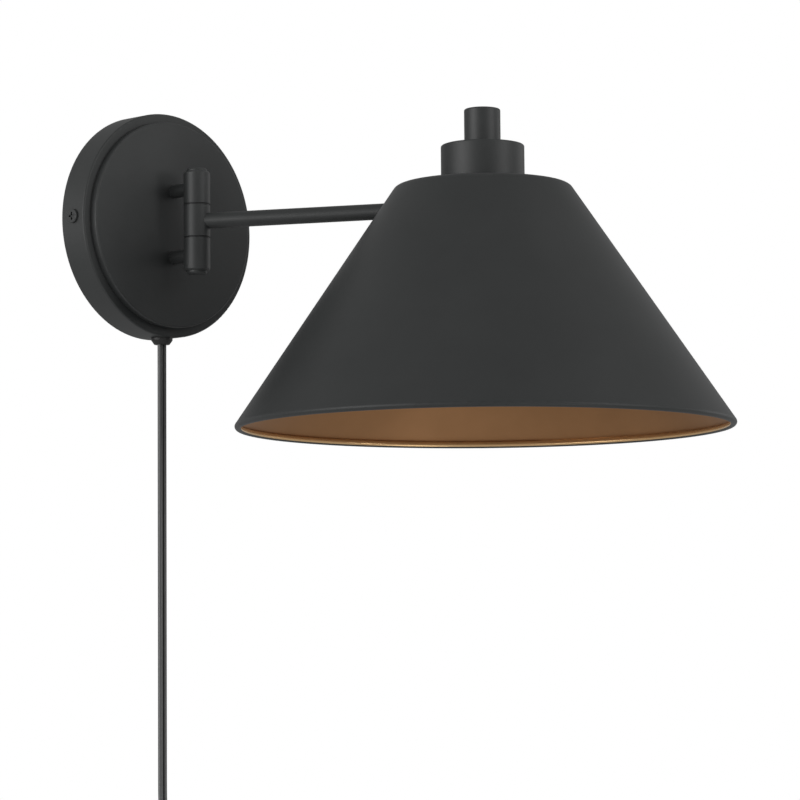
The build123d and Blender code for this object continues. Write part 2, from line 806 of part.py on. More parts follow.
tie_way = Vector(math.cos(math.radians(tie_angle)), 0, math.sin(math.radians(tie_angle)))
tie_plane = Plane(
    Vector(0, -cord_out, coil_centre) + tie_way * coil_radius,
    x_dir=tie_way,
    z_dir=(tie_way.Z, 0, -tie_way.X),
)
with BuildPart() as cord_tie:
    with BuildSketch(tie_plane):
        inner_depth = bundle_depth + 2 * tie_gap
        inner_width = bundle_width + 2 * tie_gap
        RectangleRounded(inner_depth + 2 * tie_wall, inner_width + 2 * tie_wall, coil_round + tie_wall)
        RectangleRounded(inner_depth, inner_width, coil_round, mode=Mode.SUBTRACT)
    extrude(amount=tie_width / 2, both=True)
cord_tie.part.label = "cord_tie"
export_step(cord_tie.part, "parts/cord_tie.step")

plug_plane = Plane((tail_side, -cord_out, plug_top), x_dir=(1, 0, 0), z_dir=(0, 0, -1))
blades_plane = plug_plane.offset(plug_neck_length + plug_length)
blade_places = (
    (-blade_spacing / 2, blade_width),
    (blade_spacing / 2, wide_blade_width),
)

with BuildPart() as plug_body:
    with BuildSketch(plug_plane):
        RectangleRounded(plug_neck_width, plug_neck_thickness, plug_neck_thickness / 2.1)
    with BuildSketch(plug_plane.offset(plug_neck_length)):
        RectangleRounded(plug_width - 2 * plug_round, plug_thickness - 2 * plug_round, plug_round)
    loft()
    with BuildSketch(plug_plane.offset(plug_neck_length)):
        RectangleRounded(plug_width, plug_thickness, plug_round)
    extrude(amount=plug_length)
    fillet(plug_body.edges().group_by(Axis.Z)[0], plug_edge_round)
    with BuildSketch(blades_plane):
        for place, width in blade_places:
            with Locations((place, 0)):
                Rectangle(blade_wall + 2 * press_gap, width + 2 * press_gap)
    extrude(amount=-blade_root, mode=Mode.SUBTRACT)
plug_body.part.label = "plug_body"
export_step(plug_body.part, "parts/plug_body.step")

with BuildPart() as plug_blades:
    with BuildSketch(blades_plane.offset(-blade_root)):
        for place, width in blade_places:
            with Locations((place, 0)):
                Rectangle(blade_wall, width)
    extrude(amount=blade_root + blade_length)
    tips = plug_blades.edges().group_by(Axis.Z)[0].filter_by(Axis.X)
    chamfer(tips, blade_tip, blade_tip / 2)
    with BuildSketch(Plane.YZ.offset(tail_side)):
        with Locations((-cord_out, blades_plane.origin.Z - blade_hole_drop)):
            Circle(blade_hole_radius)
    extrude(amount=blade_spacing, both=True, mode=Mode.SUBTRACT)
plug_blades.part.label = "plug_blades"
export_step(plug_blades.part, "parts/plug_blades.step")

# The free cord has no bend outside its coil.
turn_length = 2 * math.pi * coil_radius
straight_volume = power_cord.part.volume + cord_tail.part.volume
section_area = (cord_width - cord_thickness) * cord_thickness + math.pi * cord_thickness**2 / 4
print("cord bends outside the coil: none; middle radius of a turn:", coil_radius)
print("straight cord length by volume:", round(straight_volume / section_area, 1))
print("hanging run:", round(flange_bottom - coil_top, 1), "turn length:", round(turn_length, 1))
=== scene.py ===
import bpy
import json
import math
from mathutils import Matrix, Vector

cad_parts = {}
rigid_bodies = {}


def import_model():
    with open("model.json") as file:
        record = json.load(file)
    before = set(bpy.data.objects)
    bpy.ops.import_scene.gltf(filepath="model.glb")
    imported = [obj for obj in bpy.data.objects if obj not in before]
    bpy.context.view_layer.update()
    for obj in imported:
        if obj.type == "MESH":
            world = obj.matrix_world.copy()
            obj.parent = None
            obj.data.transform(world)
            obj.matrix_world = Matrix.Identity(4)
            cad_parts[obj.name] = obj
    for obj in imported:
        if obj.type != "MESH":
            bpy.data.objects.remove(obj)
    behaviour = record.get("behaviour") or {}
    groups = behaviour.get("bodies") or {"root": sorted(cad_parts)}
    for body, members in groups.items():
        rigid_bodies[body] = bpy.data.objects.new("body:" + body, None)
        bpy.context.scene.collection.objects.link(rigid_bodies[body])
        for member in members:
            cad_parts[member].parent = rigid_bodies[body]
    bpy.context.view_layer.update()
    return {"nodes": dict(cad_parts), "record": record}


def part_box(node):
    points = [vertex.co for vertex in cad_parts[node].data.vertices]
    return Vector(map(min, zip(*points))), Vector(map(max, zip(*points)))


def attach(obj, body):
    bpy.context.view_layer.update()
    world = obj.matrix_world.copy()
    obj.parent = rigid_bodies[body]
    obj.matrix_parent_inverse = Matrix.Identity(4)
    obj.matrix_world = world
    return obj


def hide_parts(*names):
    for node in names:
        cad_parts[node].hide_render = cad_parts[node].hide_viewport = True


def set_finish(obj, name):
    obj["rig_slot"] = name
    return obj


# Swing arm wall sconce with a cone shade and a plug-in cord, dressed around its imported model.
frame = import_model()
scene = bpy.context.scene
mm = 0.001


# Camera: a little to the left of the light and just below it
cameraView = {
    "target": (0.13235, -0.06, -0.08829),
    "distance": 1.84533,
    "azimuth": -46.2637,
    "elevation": -5.3012,
    "roll": -0.4621,
    "lens": 150.753,
    "sensor": 36.0,
    "nearest": 0.05,
    "farthest": 60.0,
}


def makeCamera(v):
    azimuth, elevation, roll = (math.radians(v[k]) for k in ("azimuth", "elevation", "roll"))
    back = Vector((math.sin(azimuth) * math.cos(elevation),
                   -math.cos(azimuth) * math.cos(elevation), math.sin(elevation)))
    across = Vector((0, 0, 1)).cross(back).normalized()
    upright = back.cross(across)
    side = across * math.cos(roll) + upright * math.sin(roll)
    top = upright * math.cos(roll) - across * math.sin(roll)
    data = bpy.data.cameras.new("sconceCamera")
    data.lens, data.sensor_width = v["lens"], v["sensor"]
    data.clip_start, data.clip_end = v["nearest"], v["farthest"]
    camera = bpy.data.objects.new("sconceCamera", data)
    turn = Matrix((side, top, back)).transposed().to_4x4()
    camera.matrix_world = Matrix.Translation(Vector(v["target"]) + back * v["distance"]) @ turn
    scene.collection.objects.link(camera)
    scene.camera = camera


makeCamera(cameraView)
print("camera placed")


def makePiece(name, points, faces, body, slotName, replaced, sharpAngle, shaded=None):
    # The optional shaded values, one for each point, paint shade into grooves in the material.
    mesh = bpy.data.meshes.new(name)
    mesh.from_pydata([tuple(p) for p in points], [], faces)
    mesh.validate()
    if shaded:
        mesh.attributes.new("groove", "FLOAT", "POINT").data.foreach_set("value", shaded)
    mesh.shade_smooth()
    mesh.set_sharp_from_angle(angle=math.radians(sharpAngle))
    piece = bpy.data.objects.new(name, mesh)
    scene.collection.objects.link(piece)
    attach(piece, body)
    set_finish(piece, slotName)
    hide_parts(*replaced)
    return piece


def skinRings(rings, closed=False):
    # Quads between rings of equal count, with flat ends or joined into a loop.
    count = len(rings[0])
    points = [p for ring in rings for p in ring]
    faces = []
    pairs = len(rings) if closed else len(rings) - 1
    for i in range(pairs):
        a, b = i * count, ((i + 1) % len(rings)) * count
        for j in range(count):
            k = (j + 1) % count
            faces.append((a + j, a + k, b + k, b + j))
    if not closed:
        faces.append(tuple(reversed(range(count))))
        faces.append(tuple(range((len(rings) - 1) * count, len(rings) * count)))
    return points, faces


def roundedRectangle(width, height, corner, steps):
    # Points round a rectangle with round corners, anticlockwise from the right side.
    outline = []
    for cx, cy, start in ((1, 1, 0), (-1, 1, 90), (-1, -1, 180), (1, -1, 270)):
        for i in range(steps + 1):
            angle = math.radians(start + 90 * i / steps)
            outline.append((cx * (width / 2 - corner) + corner * math.cos(angle),
                            cy * (height / 2 - corner) + corner * math.sin(angle)))
    return outline


def centreOf(node):
    low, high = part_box(node)
    return (low + high) / 2


# Flat twin cord: straight down from the bushing, then wound in a tied coil that ends in the plug
cordRun = {
    "width": 5.4 * mm,
    "thickness": 2.7 * mm,
    "web": 0.5 * mm,            # half thickness of the strip between the two lobes
    "slack": 0.2 * mm,          # air between turns
    "layers": 4,
    "laps": 7,
    "pointsPerLap": 16,
    "joinAngle": 45.0,          # where the cord meets its coil, clockwise from the top
    "bendRoom": 20 * mm,
    "crossFrom": 0.3,           # part of the inner lap where it starts to cross over
    "crossOver": 0.4,           # part of that lap which the crossing takes
    "tailDrops": (0.2, 0.55),   # places of the tail's points between coil and plug
    "twistAbove": 12 * mm,      # where it starts to turn flat, above the coil's corner
    "twistLength": 55 * mm,
    "tailTwist": 0.75,          # the turn back before the plug, as part of twistLength
    "tailStraight": 4 * mm,
    "smoothness": 6,
    "lobeTurns": (-150, -141, -130, -105, -75, -45, -15, 15, 45, 75, 105, 130, 141, 150),
    # how much painted shade darkens the points near the groove, from the groove outwards
    "grooveShade": (1.0, 0.8, 0.35),
    "sharpAngle": 70,
}


def coilRoute(c):
    # Points of the cord's spline. The coil goes inwards in one column, then outwards in the other.
    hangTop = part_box("power_cord")[1].z
    coilLow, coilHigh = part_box("cord_coil")
    middle = (coilLow + coilHigh) / 2
    plugLow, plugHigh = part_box("plug_body")
    plugMiddle = (plugLow + plugHigh) / 2
    layer = c["thickness"] + c["slack"]
    column = (c["width"] + c["slack"]) / 2
    outer = (coilHigh.x - coilLow.x) / 2 - layer / 2
    inner = outer - (c["layers"] - 1) * layer
    step = 2 * math.pi / c["pointsPerLap"]
    widen = 1 / math.cos(step / 2)  # a spline's points lie outside the circle that it draws
    join = math.radians(c["joinAngle"])
    corner = middle.z + outer / math.cos(join)
    route = [(middle.x, middle.y, hangTop), (middle.x, middle.y, hangTop - c["bendRoom"]),
             (middle.x, middle.y, corner + 2 * c["bendRoom"]),
             (middle.x, middle.y, corner + c["bendRoom"]),
             (middle.x, middle.y - column / 2, corner)]
    inwards = c["layers"] - 1
    total = c["laps"] * 2 * math.pi + math.pi / 2 - join
    count = round(total / step)
    for i in range(count):
        turned = (i + 0.5) * step
        lap = turned / (2 * math.pi)
        side, radius = -column, outer
        if lap < inwards:
            radius = outer - lap * layer
        elif lap < inwards + 1:
            share = lap - inwards
            ease = min(1, max(0, (share - c["crossFrom"]) / c["crossOver"]))
            side = column * (2 * ease * ease * (3 - 2 * ease) - 1)
            radius = inner - layer / 2 * math.sin(math.pi * share)
        else:
            side = column
            radius = min(outer, inner + (lap - inwards - 1) * layer)
        angle = join + turned
        route.append((middle.x + radius * widen * math.sin(angle), middle.y + side,
                      middle.z + radius * widen * math.cos(angle)))
    drop = middle.z - plugHigh.z
    first, second = c["tailDrops"]
    route.append((middle.x + outer, middle.y + column, middle.z - first * drop))
    route.append((plugMiddle.x, plugMiddle.y + column / 3, middle.z - second * drop))
    route.append((plugMiddle.x, plugMiddle.y, plugHigh.z + first * drop))
    route.append((plugMiddle.x, plugMiddle.y, plugHigh.z))
    return route, corner


def splinePoints(route, smoothness):
    curve = bpy.data.curves.new("cordRoute", "CURVE")
    curve.dimensions = "3D"
    spline = curve.splines.new("NURBS")
    spline.points.add(len(route) - 1)
    for point, place in zip(spline.points, route):
        point.co = (*place, 1.0)
    spline.order_u = 3
    spline.use_endpoint_u = True
    spline.resolution_u = smoothness
    carrier = bpy.data.objects.new("cordRoute", curve)
    mesh = bpy.data.meshes.new_from_object(carrier)
    line = [v.co.copy() for v in mesh.vertices]
    bpy.data.meshes.remove(mesh)
    bpy.data.objects.remove(carrier)
    bpy.data.curves.remove(curve)
    return line


def twinSection(c):
    # Two round lobes side by side with a groove between them, as (along width, along thickness).
    lobe = c["thickness"] / 2
    shift = c["width"] / 2 - lobe
    right = [(shift + lobe * math.cos(a), lobe * math.sin(a))
             for a in (math.radians(d) for d in c["lobeTurns"])]
    left = [(-u, -v) for u, v in right]
    # Painted shade for each point: full in the groove, fading out along each lobe.
    shade = list(c["grooveShade"])
    shaded = shade + [0.0] * (len(right) - 2 * len(shade)) + shade[::-1] + [1.0]
    return right + [(0, c["web"])] + left + [(0, -c["web"])], shaded * 2


def makeCord(c):
    route, corner = coilRoute(c)
    line = splinePoints(route, c["smoothness"])
    lengths = [0.0]
    for a, b in zip(line, line[1:]):
        lengths.append(lengths[-1] + (b - a).length)
    total = lengths[-1]
    start = next(s for s, p in zip(lengths, line) if p.z < corner + c["twistAbove"])
    tailTwist = c["tailTwist"] * c["twistLength"]
    section, shaded = twinSection(c)
    rings = []
    for i, place in enumerate(line):
        along = (line[min(i + 1, len(line) - 1)] - line[max(i - 1, 0)]).normalized()
        left = total - lengths[i] - c["tailStraight"]
        turned = min(1, max(0, (lengths[i] - start) / c["twistLength"]), max(0, left / tailTwist))
        turned = turned * turned * (3 - 2 * turned) * math.pi / 2
        wide = Vector((math.cos(turned), math.sin(turned), 0))
        wide = (wide - along * wide.dot(along)).normalized()
        thick = along.cross(wide)
        rings.append([place + wide * u + thick * v for u, v in section])
    points, faces = skinRings(rings)
    cord = makePiece("flatCord", points, faces, "base", "cord_pvc",
                     ("power_cord", "cord_coil", "cord_tail"), c["sharpAngle"],
                     shaded * len(rings))
    print(f"cord length {total:.3f} m, lowest {min(p.z for p in line):.3f}")
    return cord, line, total


cord, cordLine, cordLength = makeCord(cordRun)


# Plug: a moulded body with grip ridges and a ringed strain relief
plugShape = {
    "bodyLength": 27 * mm,
    "neckTop": (6.6 * mm, 5.0 * mm),
    "neckFoot": (11.0 * mm, 9.0 * mm),
    "neckSwell": 1.3,
    "neckCorner": 0.45,         # as part of the neck's thickness
    "rings": 5,
    "ringDepth": 0.7 * mm,
    "shoulder": 4.5 * mm,
    "shoulderSteps": 8,
    "gripBelow": 2 * mm,        # from the shoulder down to the first ridge
    "gripAbove": 5 * mm,        # from the face up to the last ridge
    "gripInset": 1.2 * mm,
    "gripSide": 0.6,            # the waist's depth on the wide sides, as part of gripInset
    "gripRidges": 6,
    "ridgeDepth": 0.35 * mm,
    "stepsPerRidge": 6,
    "corner": 3.2 * mm,
    "cornerSteps": 6,
    "cornerLimit": 0.49,        # largest corner, as part of the thickness
    "faceRound": 1.2 * mm,
    "faceSteps": 6,
    "faceCorner": 0.8,          # how fast the corner shrinks towards the face
    "sharpAngle": 35,
}


def ripple(share, count):
    # Rises from 0 to 1 and back, count times while share goes from 0 to 1.
    return 0.5 - 0.5 * math.cos(2 * math.pi * count * share)


def makePlug(p):
    low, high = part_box("plug_body")
    middle = (low + high) / 2
    width, thickness = high.x - low.x, high.y - low.y
    bodyTop = low.z + p["bodyLength"]
    neck = high.z - bodyTop
    top, foot = p["neckTop"], p["neckFoot"]
    footCorner = p["neckCorner"] * foot[1]
    rows = []  # height, width, thickness, corner
    steps = p["rings"] * p["stepsPerRidge"]
    for i in range(steps + 1):
        share = i / steps
        wide, deep = (a + (b - a) * share ** p["neckSwell"] for a, b in zip(top, foot))
        groove = p["ringDepth"] * ripple(share, p["rings"]) ** 2 if i < steps else 0
        rows.append((high.z - neck * share, wide - 2 * groove, deep - 2 * groove,
                     p["neckCorner"] * deep))
    for i in range(1, p["shoulderSteps"] + 1):
        angle = math.radians(90 * i / p["shoulderSteps"])
        share, fall = math.sin(angle), 1 - math.cos(angle)
        rows.append((bodyTop - p["shoulder"] * fall, foot[0] + (width - foot[0]) * share,
                     foot[1] + (thickness - foot[1]) * share,
                     footCorner + (p["corner"] - footCorner) * share))
    gripTop = bodyTop - p["shoulder"] - p["gripBelow"]
    gripLow = low.z + p["gripAbove"]
    steps = p["gripRidges"] * p["stepsPerRidge"]
    for i in range(steps + 1):
        share = i / steps
        waist = p["gripInset"] * math.sin(math.pi * share)
        ridge = p["ridgeDepth"] * ripple(share, p["gripRidges"])
        rows.append((gripTop + (gripLow - gripTop) * share, width - 2 * waist,
                     thickness - 2 * (waist * p["gripSide"] + ridge), p["corner"]))
    for i in range(p["faceSteps"] + 1):
        angle = math.radians(90 * i / p["faceSteps"])
        inset = p["faceRound"] * (1 - math.cos(angle))
        rows.append((low.z + p["faceRound"] * (1 - math.sin(angle)), width - 2 * inset,
                     thickness - 2 * inset, p["corner"] - inset * p["faceCorner"]))
    rings = [[Vector((middle.x + x, middle.y + y, z)) for x, y in
              roundedRectangle(wide, deep, min(corner, p["cornerLimit"] * deep), p["cornerSteps"])]
             for z, wide, deep, corner in rows]
    points, faces = skinRings(rings)
    faces = [tuple(reversed(face)) for face in faces]
    return makePiece("plugBody", points, faces, "base", "plug_pvc", ("plug_body",),
                     p["sharpAngle"])


plug = makePlug(plugShape)


# Tie: a plastic strap with a small buckle round the bundle
tieShape = {
    "strapWidth": 4.0 * mm,
    "strapFlat": 3.2 * mm,      # width between its bevelled edges
    "strapBevel": 0.25 * mm,
    "strapSlack": 0.3 * mm,
    "strapExtra": 0.4 * mm,     # how much deeper than wide the loop is
    "bandCorner": 2.2 * mm,
    "leastCorner": 0.6 * mm,
    "bandSteps": 5,
    "headLength": 5.2 * mm,
    "headWidth": 5.6 * mm,
    "headHeight": 3.6 * mm,
    "headSink": 0.3 * mm,
    "headBevel": 0.6 * mm,
    "headCorner": 0.8 * mm,
    "headSteps": 4,
    "tailReach": 6.5 * mm,
    "tailRings": (0, 0.95, 1.0),
    "tailLift": 1.6 * mm,
    "tailOverlap": 0.5 * mm,
    "tailSection": (4.0 * mm, 1.0 * mm, 0.35 * mm),
    "tailSteps": 2,
    "sharpAngle": 35,
}


def makeTie(t):
    middle = centreOf("cord_coil")
    out = centreOf("cord_tie") - middle
    out.y = 0
    radius = out.length
    out.normalize()
    along = Vector((-out.z, 0, out.x))
    across = Vector((0, 1, 0))
    low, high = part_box("cord_tie")
    wide = high.y - low.y
    coilLow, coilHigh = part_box("cord_coil")
    wall = (wide - (coilHigh.y - coilLow.y)) / 2 - t["strapSlack"]
    deep = wide + t["strapExtra"]
    flat, half, bevel = t["strapFlat"] / 2, t["strapWidth"] / 2, t["strapBevel"]
    strap = []
    for inset, side in ((0, -flat), (bevel, -half), (wall - bevel, -half), (wall, -flat),
                        (wall, flat), (wall - bevel, half), (bevel, half), (0, flat)):
        corner = max(t["bandCorner"] - inset, t["leastCorner"]) + wall
        outline = roundedRectangle(deep - 2 * inset, wide - 2 * inset, corner, t["bandSteps"])
        strap.append([middle + out * (radius + x) + across * y + along * side
                      for x, y in outline])
    top = radius + deep / 2
    head = []
    for lift, inset in ((-t["headSink"], 0), (t["headHeight"] - t["headBevel"], 0),
                        (t["headHeight"], t["headBevel"])):
        outline = roundedRectangle(t["headLength"] - 2 * inset, t["headWidth"] - 2 * inset,
                                   t["headCorner"], t["headSteps"])
        head.append([middle + out * (top + lift) + across * y + along * x for x, y in outline])
    outline = roundedRectangle(*t["tailSection"], t["tailSteps"])
    edge = t["headWidth"] / 2 - t["tailOverlap"]
    tail = [[middle + out * (top + t["tailLift"] + y) + across * (edge + t["tailReach"] * share)
             + along * x for x, y in outline] for share in t["tailRings"]]
    points, faces = skinRings(strap, closed=True)
    for rings in (head, tail):
        base = len(points)
        morePoints, moreFaces = skinRings(rings)
        points += morePoints
        faces += [tuple(i + base for i in face) for face in moreFaces]
    return makePiece("cordStrap", points, faces, "base", "tie_plastic", ("cord_tie",),
                     t["sharpAngle"])


tie = makeTie(tieShape)
print("cord, plug and tie made")


# Lampholder shell with its rolled thread
threadShape = {
    "pitch": 3.63 * mm,
    "depth": 0.42 * mm,
    "wall": 0.35 * mm,
    "clearance": 0.5 * mm,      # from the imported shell's side to the thread's inner wall
    "fadeShare": 0.125,         # part of the thread that runs out at each end
    "steps": 96,
    "rowsPerPitch": 10,
    "floorDrop": 5.0 * mm,
    "floorRadius": 10.5 * mm,
    "holeRadius": 6.5 * mm,
    "sharpAngle": 50,
}


def makeScrewShell(s):
    low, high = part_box("screw_shell")
    middle = (low + high) / 2
    radius = (high.x - low.x) / 2 - s["clearance"]
    threadTop = high.z - s["floorDrop"]
    reach = threadTop - low.z
    count = round(reach / s["pitch"] * s["rowsPerPitch"])
    inside = [(s["holeRadius"], high.z - s["wall"], 0), (s["floorRadius"], high.z - s["wall"], 0)]
    for i in range(count + 1):
        share = i / count
        fade = min(1, share / s["fadeShare"], (1 - share) / s["fadeShare"])
        inside.append((radius, threadTop - reach * share, fade))
    outside = [(r + s["wall"], z if i > 1 else high.z, fade)
               for i, (r, z, fade) in enumerate(inside)]
    outside[0] = (s["holeRadius"], high.z, 0)
    rings = []
    for r, z, fade in outside[::-1] + inside:
        ring = []
        for j in range(s["steps"]):
            angle = 2 * math.pi * j / s["steps"]
            wave = math.cos(2 * math.pi * (z - low.z) / s["pitch"] - angle)
            bulge = r - s["depth"] * fade * (0.5 - 0.5 * wave)
            ring.append(Vector((middle.x + bulge * math.cos(angle),
                                middle.y + bulge * math.sin(angle), z)))
        rings.append(ring)
    points, faces = skinRings(rings, closed=True)
    return makePiece("screwShell", points, faces, "arm", "brass", ("screw_shell",),
                     s["sharpAngle"])


makeScrewShell(threadShape)
print("lampholder shell made")


# Small helpers for nodes, and node groups for effects that several materials share
noiseSpan = (0.3, 0.7)      # noise values lie mostly between these


def newGroup(name, inputs, outputs):
    group = bpy.data.node_groups.new(name, "ShaderNodeTree")
    for label, kind, value in inputs:
        socket = group.interface.new_socket(label, in_out="INPUT", socket_type=kind)
        socket.default_value = value
    for label, kind in outputs:
        group.interface.new_socket(label, in_out="OUTPUT", socket_type=kind)
    return group, group.nodes.new("NodeGroupInput"), group.nodes.new("NodeGroupOutput")


def addNode(tree, kind, **settings):
    node = tree.nodes.new(kind)
    for key, value in settings.items():
        setattr(node, key, value)
    return node


def feed(tree, node, **values):
    # Sets a socket to a value, or links it when the value is a socket. i0 is socket number 0.
    for key, value in values.items():
        socket = node.inputs[int(key[1:]) if key[0] == "i" and key[1:].isdigit() else key]
        if isinstance(value, bpy.types.NodeSocket):
            tree.links.new(value, socket)
        else:
            socket.default_value = value
    return node


def mathNode(tree, operation, a, b, clamp=False):
    node = addNode(tree, "ShaderNodeMath", operation=operation, use_clamp=clamp)
    return feed(tree, node, i0=a, i1=b).outputs[0]


def vectorNode(tree, operation, **values):
    node = feed(tree, addNode(tree, "ShaderNodeVectorMath", operation=operation), **values)
    return node.outputs["Value" if operation in ("DOT_PRODUCT", "LENGTH") else "Vector"]


def mixNumber(tree, factor, a, b):
    node = addNode(tree, "ShaderNodeMix", data_type="FLOAT")
    return feed(tree, node, i0=factor, i2=a, i3=b).outputs[0]


def mixColour(tree, factor, a, b):
    node = addNode(tree, "ShaderNodeMix", data_type="RGBA")
    return feed(tree, node, i0=factor, i6=a, i7=b).outputs[2]


def mapNoise(tree, noise, low, high):
    node = addNode(tree, "ShaderNodeMapRange")
    return feed(tree, node, i0=noise, i1=noiseSpan[0], i2=noiseSpan[1], i3=low,
                i4=high).outputs[0]


def makeGrainGroup():
    # Fine grain for bump, and a slow mottle for tone and gloss, in object space.
    group, enter, leave = newGroup(
        "surfaceGrain",
        [("Grain Scale", "NodeSocketFloat", 1600.0), ("Mottle Scale", "NodeSocketFloat", 60.0),
         ("Stretch", "NodeSocketVector", (1.0, 1.0, 1.0))],
        [("Height", "NodeSocketFloat"), ("Mottle", "NodeSocketFloat")])
    coords = addNode(group, "ShaderNodeTexCoord").outputs["Object"]
    stretched = vectorNode(group, "MULTIPLY", i0=coords, i1=enter.outputs["Stretch"])
    for output, scale, detail, roughness in (("Height", "Grain Scale", 2.0, 0.55),
                                             ("Mottle", "Mottle Scale", 4.0, 0.6)):
        noise = addNode(group, "ShaderNodeTexNoise")
        feed(group, noise, Vector=stretched, Scale=enter.outputs[scale], Detail=detail,
             Roughness=roughness)
        feed(group, leave, **{output: noise.outputs["Fac"]})
    return group


def makeEdgeGroup():
    # Mask of rounded and sharp edges, from how far a bevelled normal turns from the true one.
    group, enter, leave = newGroup(
        "edgeRubAndSheen", [("Reach", "NodeSocketFloat", 0.0006), ("Gain", "NodeSocketFloat", 6.0)],
        [("Mask", "NodeSocketFloat")])
    bevel = addNode(group, "ShaderNodeBevel", samples=4)
    feed(group, bevel, Radius=enter.outputs["Reach"])
    normal = addNode(group, "ShaderNodeNewGeometry").outputs["Normal"]
    agreement = vectorNode(group, "DOT_PRODUCT", i0=bevel.outputs[0], i1=normal)
    turned = mathNode(group, "SUBTRACT", 1.0, agreement)
    feed(group, leave, Mask=mathNode(group, "MULTIPLY", turned, enter.outputs["Gain"], clamp=True))
    return group


grainGroup = makeGrainGroup()
edgeGroup = makeEdgeGroup()


def placeGrain(tree, f):
    node = addNode(tree, "ShaderNodeGroup", node_tree=grainGroup)
    return feed(tree, node, **{"Grain Scale": f["grain"], "Mottle Scale": f["mottle"],
                               "Stretch": f.get("stretch", (1, 1, 1))})


def placeEdgeMask(tree, f):
    node = addNode(tree, "ShaderNodeGroup", node_tree=edgeGroup)
    return feed(tree, node, Reach=f["edgeReach"], Gain=f["edgeGain"]).outputs["Mask"]


def placeBump(tree, shader, grain, f, **normal):
    bump = addNode(tree, "ShaderNodeBump")
    feed(tree, bump, Height=grain.outputs["Height"], Strength=f["bump"], Distance=f["bumpDepth"],
         **normal)
    feed(tree, shader, Normal=bump.outputs[0])


def startMaterial(name):
    material = bpy.data.materials.new(name)
    material.use_nodes = True
    tree = material.node_tree
    return material, tree, tree.nodes["Principled BSDF"]


def makeFinish(name, f):
    # One finish: two close tones, grain bump, varied gloss, lighter edges that are partly rub and
    # partly painted sheen, and painted shade in grooves, which are also dull.
    material, tree, shader = startMaterial(name)
    grain = placeGrain(tree, f)
    mottle = grain.outputs["Mottle"]
    colour = mixColour(tree, mapNoise(tree, mottle, 0.0, 1.0), (*f["dark"], 1), (*f["light"], 1))
    rough = mapNoise(tree, mottle, f["rough"] - f["roughSwing"], f["rough"] + f["roughSwing"])
    if "edge" in f:
        # Edges turn lighter: partly rubbed wear, partly a painted sheen where edges catch light.
        colour = mixColour(tree, placeEdgeMask(tree, f), colour, (*f["edge"], 1))
    # The groove attribute paints shade into the groove as a darker colour, and makes it dull.
    if "groove" in f:
        paintedGrooveShade = addNode(tree, "ShaderNodeAttribute", attribute_name="groove").outputs["Fac"]
        colour = mixColour(tree, paintedGrooveShade, colour, (*f["groove"], 1))
        rough = mixNumber(tree, paintedGrooveShade, rough, 1.0)
    feed(tree, shader, **{"Base Color": colour, "Roughness": rough,
                          "Metallic": f.get("metallic", 0.0),
                          "Specular IOR Level": f.get("specular", 0.5)})
    placeBump(tree, shader, grain, f)
    return material


